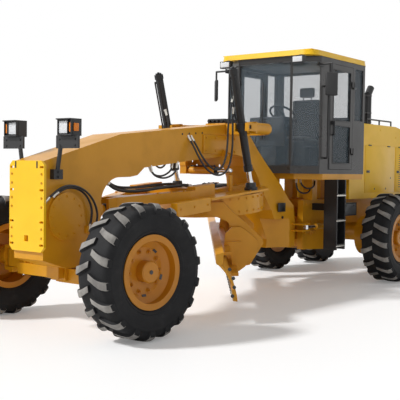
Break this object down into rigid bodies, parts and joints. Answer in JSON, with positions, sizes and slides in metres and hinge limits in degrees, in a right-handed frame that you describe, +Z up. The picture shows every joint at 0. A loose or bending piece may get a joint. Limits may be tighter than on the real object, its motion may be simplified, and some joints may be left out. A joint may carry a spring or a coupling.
{
  "type": "motor grader",
  "caption": "Articulated six-wheel motor grader with an angled moldboard under its beam, an enclosed cab and tandem rear wheels.",
  "frame": {"origin": "on the ground below the middle of the machine's length, on its centre plane", "axes": "+X forward, +Y to the machine's left, +Z up"},
  "size_m": [9.0399, 2.7082, 3.345],
  "materials": {
    "yellow_paint": "golden ochre enamel",
    "bright_yellow": "bright yellow enamel",
    "rim_paint": "ochre enamel",
    "tyre": "matt charcoal",
    "cab_bronze": "dark bronze",
    "black_metal": "satin black",
    "black_steel": "dark steel",
    "black_plastic": "matt black",
    "lamp_black": "black housing",
    "rod_chrome": "polished",
    "engine_iron": "bare",
    "window_glass": "clear",
    "seat_fabric": "black cloth"
  },
  "bodies": {
    "rear_frame": {"rear_frame": "yellow_paint", "tandem_axle": "yellow_paint", "engine_block": "engine_iron", "hood": "yellow_paint", "rear_grille": "black_metal", "cab_shell": "cab_bronze", "cab_base": "yellow_paint", "cab_roof": "yellow_paint", "cab_glass": "window_glass", "cab_seat": "seat_fabric", "cab_console": "black_plastic", "steps_left": "black_metal", "steps_right": "black_metal", "mirrors": "black_plastic", "exhaust": "black_metal", "work_lamps": "lamp_black"},
    "front_frame": {"front_frame": "yellow_paint", "front_plate": "bright_yellow", "headlamps": "lamp_black", "front_axle": "yellow_paint", "lift_saddle": "yellow_paint"},
    "steering_bar": {"steering_bar": "rod_chrome"},
    "drawbar_ball": {"drawbar_ball": "black_steel"},
    "drawbar": {"drawbar": "yellow_paint"},
    "circle": {"circle": "yellow_paint"},
    "blade_carrier": {"blade_carrier": "yellow_paint"},
    "moldboard": {"moldboard": "yellow_paint"},
    "swing_barrel": {"swing_barrel": "yellow_paint"},
    "swing_rod": {"swing_rod": "rod_chrome"},
    "hitch_barrel_left": {"hitch_barrel_left": "yellow_paint"},
    "hitch_rod_left": {"hitch_rod_left": "rod_chrome"},
    "door_left": {"door_left": "cab_bronze", "door_glass_left": "window_glass"},
    "wheel_left_tandem_front": {"tyre_left_tandem_front": "tyre", "rim_left_tandem_front": "rim_paint"},
    "wheel_left_tandem_back": {"tyre_left_tandem_back": "tyre", "rim_left_tandem_back": "rim_paint"},
    "knuckle_left": {"knuckle_left": "yellow_paint"},
    "wheel_front_left": {"tyre_front_left": "tyre", "rim_front_left": "rim_paint"},
    "hitch_barrel_right": {"hitch_barrel_right": "yellow_paint"},
    "hitch_rod_right": {"hitch_rod_right": "rod_chrome"},
    "door_right": {"door_right": "cab_bronze", "door_glass_right": "window_glass"},
    "wheel_right_tandem_front": {"tyre_right_tandem_front": "tyre", "rim_right_tandem_front": "rim_paint"},
    "wheel_right_tandem_back": {"tyre_right_tandem_back": "tyre", "rim_right_tandem_back": "rim_paint"},
    "knuckle_right": {"knuckle_right": "yellow_paint"},
    "wheel_front_right": {"tyre_front_right": "tyre", "rim_front_right": "rim_paint"},
    "lift_yoke_left": {"lift_yoke_left": "yellow_paint"},
    "lift_barrel_left": {"lift_barrel_left": "black_metal"},
    "lift_rod_left": {"lift_rod_left": "rod_chrome"},
    "lift_yoke_right": {"lift_yoke_right": "yellow_paint"},
    "lift_barrel_right": {"lift_barrel_right": "black_metal"},
    "lift_rod_right": {"lift_rod_right": "rod_chrome"}
  },
  "joints": [
    {"name": "articulation", "type": "hinge", "parent": "rear_frame", "child": "front_frame", "pos_m": [-0.64, 0, 0.875], "axis": [0, 0, -1], "range_deg": [-20, 20]},
    {"name": "hitch_barrel_left_pivot", "type": "hinge", "parent": "rear_frame", "child": "hitch_barrel_left", "pos_m": [-1.155, 0.48, 0.87], "axis": [0, 0, 1], "range_deg": [-6.5, 6.5]},
    {"name": "hitch_rod_left_slide", "type": "slide", "parent": "hitch_barrel_left", "child": "hitch_rod_left", "axis": [1, 0, 0], "range_m": [-0.167, 0.167]},
    {"name": "door_left_hinge", "type": "hinge", "parent": "rear_frame", "child": "door_left", "pos_m": [-1.135, 0.806, 2.45], "axis": [0, 0, 1], "range_deg": [0, 85]},
    {"name": "wheel_left_tandem_front_spin", "type": "hinge", "parent": "rear_frame", "child": "wheel_left_tandem_front", "pos_m": [-1.9, 1.1, 0.675], "axis": [0, 1, 0], "continuous": true},
    {"name": "wheel_left_tandem_back_spin", "type": "hinge", "parent": "rear_frame", "child": "wheel_left_tandem_back", "pos_m": [-3.44, 1.1, 0.675], "axis": [0, 1, 0], "continuous": true},
    {"name": "steer_left", "type": "hinge", "parent": "front_frame", "child": "knuckle_left", "pos_m": [3.81, 0.866, 0.675], "axis": [0, 0, 1], "range_deg": [-39.5, 50.5]},
    {"name": "wheel_front_left_spin", "type": "hinge", "parent": "knuckle_left", "child": "wheel_front_left", "pos_m": [3.83032, 1.07702, 0.675], "axis": [0.0958, 0.9954, 0], "continuous": true},
    {"name": "hitch_barrel_right_pivot", "type": "hinge", "parent": "rear_frame", "child": "hitch_barrel_right", "pos_m": [-1.155, -0.48, 0.87], "axis": [0, 0, 1], "range_deg": [-6.5, 6.5]},
    {"name": "hitch_rod_right_slide", "type": "slide", "parent": "hitch_barrel_right", "child": "hitch_rod_right", "axis": [1, 0, 0], "range_m": [-0.167, 0.167]},
    {"name": "door_right_hinge", "type": "hinge", "parent": "rear_frame", "child": "door_right", "pos_m": [-1.135, -0.806, 2.45], "axis": [0, 0, -1], "range_deg": [0, 85]},
    {"name": "wheel_right_tandem_front_spin", "type": "hinge", "parent": "rear_frame", "child": "wheel_right_tandem_front", "pos_m": [-1.9, -1.1, 0.675], "axis": [0, 1, 0], "continuous": true},
    {"name": "wheel_right_tandem_back_spin", "type": "hinge", "parent": "rear_frame", "child": "wheel_right_tandem_back", "pos_m": [-3.44, -1.1, 0.675], "axis": [0, 1, 0], "continuous": true},
    {"name": "steer_right", "type": "hinge", "parent": "front_frame", "child": "knuckle_right", "pos_m": [3.81, -0.866, 0.675], "axis": [0, 0, 1], "range_deg": [-39.5, 50.5]},
    {"name": "wheel_front_right_spin", "type": "hinge", "parent": "knuckle_right", "child": "wheel_front_right", "pos_m": [3.78968, -1.07702, 0.675], "axis": [0.0958, 0.9954, 0], "continuous": true},
    {"name": "steering_slide", "type": "slide", "parent": "front_frame", "child": "steering_bar", "axis": [0, 1, 0], "range_m": [-0.112, 0.09]},
    {"name": "drawbar_swing", "type": "hinge", "parent": "front_frame", "child": "drawbar_ball", "pos_m": [3.25, 0, 1.215], "axis": [-0.0872, 0, -0.9962], "range_deg": [-5, 5]},
    {"name": "drawbar_lift", "type": "hinge", "parent": "drawbar_ball", "child": "drawbar", "pos_m": [3.25, 0, 1.215], "axis": [0, 1, 0], "range_deg": [-20, 3]},
    {"name": "circle_turn", "type": "hinge", "parent": "drawbar", "child": "circle", "pos_m": [1.29049, 0, 1.38644], "axis": [0.0872, 0, 0.9962], "range_deg": [-6.5, 96.5]},
    {"name": "blade_tilt", "type": "hinge", "parent": "circle", "child": "blade_carrier", "pos_m": [1.01611, 0.25826, 0.60738], "axis": [0.7796, 0.6225, -0.0682], "range_deg": [-15, 20]},
    {"name": "blade_shift", "type": "slide", "parent": "blade_carrier", "child": "moldboard", "axis": [0.7796, 0.6225, -0.0682], "range_m": [-0.45, 0.45]},
    {"name": "lift_yoke_left_roll", "type": "hinge", "parent": "front_frame", "child": "lift_yoke_left", "pos_m": [1.4437, 0.6, 2.21], "axis": [1, 0, 0], "range_deg": [-13.6, 13.6]},
    {"name": "lift_barrel_left_pivot", "type": "hinge", "parent": "lift_yoke_left", "child": "lift_barrel_left", "pos_m": [1.4437, 0.6, 2.21], "axis": [0, 1, 0], "range_deg": [-9.5, 2]},
    {"name": "lift_rod_left_slide", "type": "slide", "parent": "lift_barrel_left", "child": "lift_rod_left", "axis": [-0.2827, 0, -0.9592], "range_m": [-0.14, 0.69]},
    {"name": "lift_yoke_right_roll", "type": "hinge", "parent": "front_frame", "child": "lift_yoke_right", "pos_m": [1.4437, -0.6, 2.21], "axis": [1, 0, 0], "range_deg": [-13.6, 13.6]},
    {"name": "lift_barrel_right_pivot", "type": "hinge", "parent": "lift_yoke_right", "child": "lift_barrel_right", "pos_m": [1.4437, -0.6, 2.21], "axis": [0, 1, 0], "range_deg": [-9.5, 2]},
    {"name": "lift_rod_right_slide", "type": "slide", "parent": "lift_barrel_right", "child": "lift_rod_right", "axis": [-0.2827, 0, -0.9592], "range_m": [-0.14, 0.69]},
    {"name": "swing_barrel_pivot", "type": "hinge", "parent": "front_frame", "child": "swing_barrel", "pos_m": [1.44, -0.29, 1.665], "axis": [1, 0, 0], "range_deg": [-47.5, 9.8]},
    {"name": "swing_rod_slide", "type": "slide", "parent": "swing_barrel", "child": "swing_rod", "axis": [0, 1, 0], "range_m": [-0.159, 0.159]}
  ],
  "couplings": [
    {"joint": "hitch_barrel_left_pivot", "follows": "articulation", "ratio": -0.32},
    {"joint": "hitch_rod_left_slide", "follows": "articulation", "m_per_rad": 0.475},
    {"joint": "hitch_barrel_right_pivot", "follows": "articulation", "ratio": -0.32},
    {"joint": "hitch_rod_right_slide", "follows": "articulation", "m_per_rad": -0.475},
    {"joint": "steer_right", "follows": "steer_left", "ratio": 1},
    {"joint": "steering_slide", "follows": "steer_left", "m_per_rad": -0.126},
    {"joint": "lift_yoke_left_roll", "follows": "drawbar_swing", "ratio": 2.7},
    {"joint": "lift_barrel_left_pivot", "follows": "drawbar_lift", "ratio": 0.455},
    {"joint": "lift_rod_left_slide", "follows": "drawbar_lift", "m_per_rad": -1.96},
    {"joint": "lift_yoke_right_roll", "follows": "drawbar_swing", "ratio": 2.7},
    {"joint": "lift_barrel_right_pivot", "follows": "drawbar_lift", "ratio": 0.455},
    {"joint": "lift_rod_right_slide", "follows": "drawbar_lift", "m_per_rad": -1.96},
    {"joint": "swing_barrel_pivot", "follows": "drawbar_lift", "ratio": 2.35},
    {"joint": "swing_rod_slide", "follows": "drawbar_swing", "m_per_rad": 1.81}
  ]
}
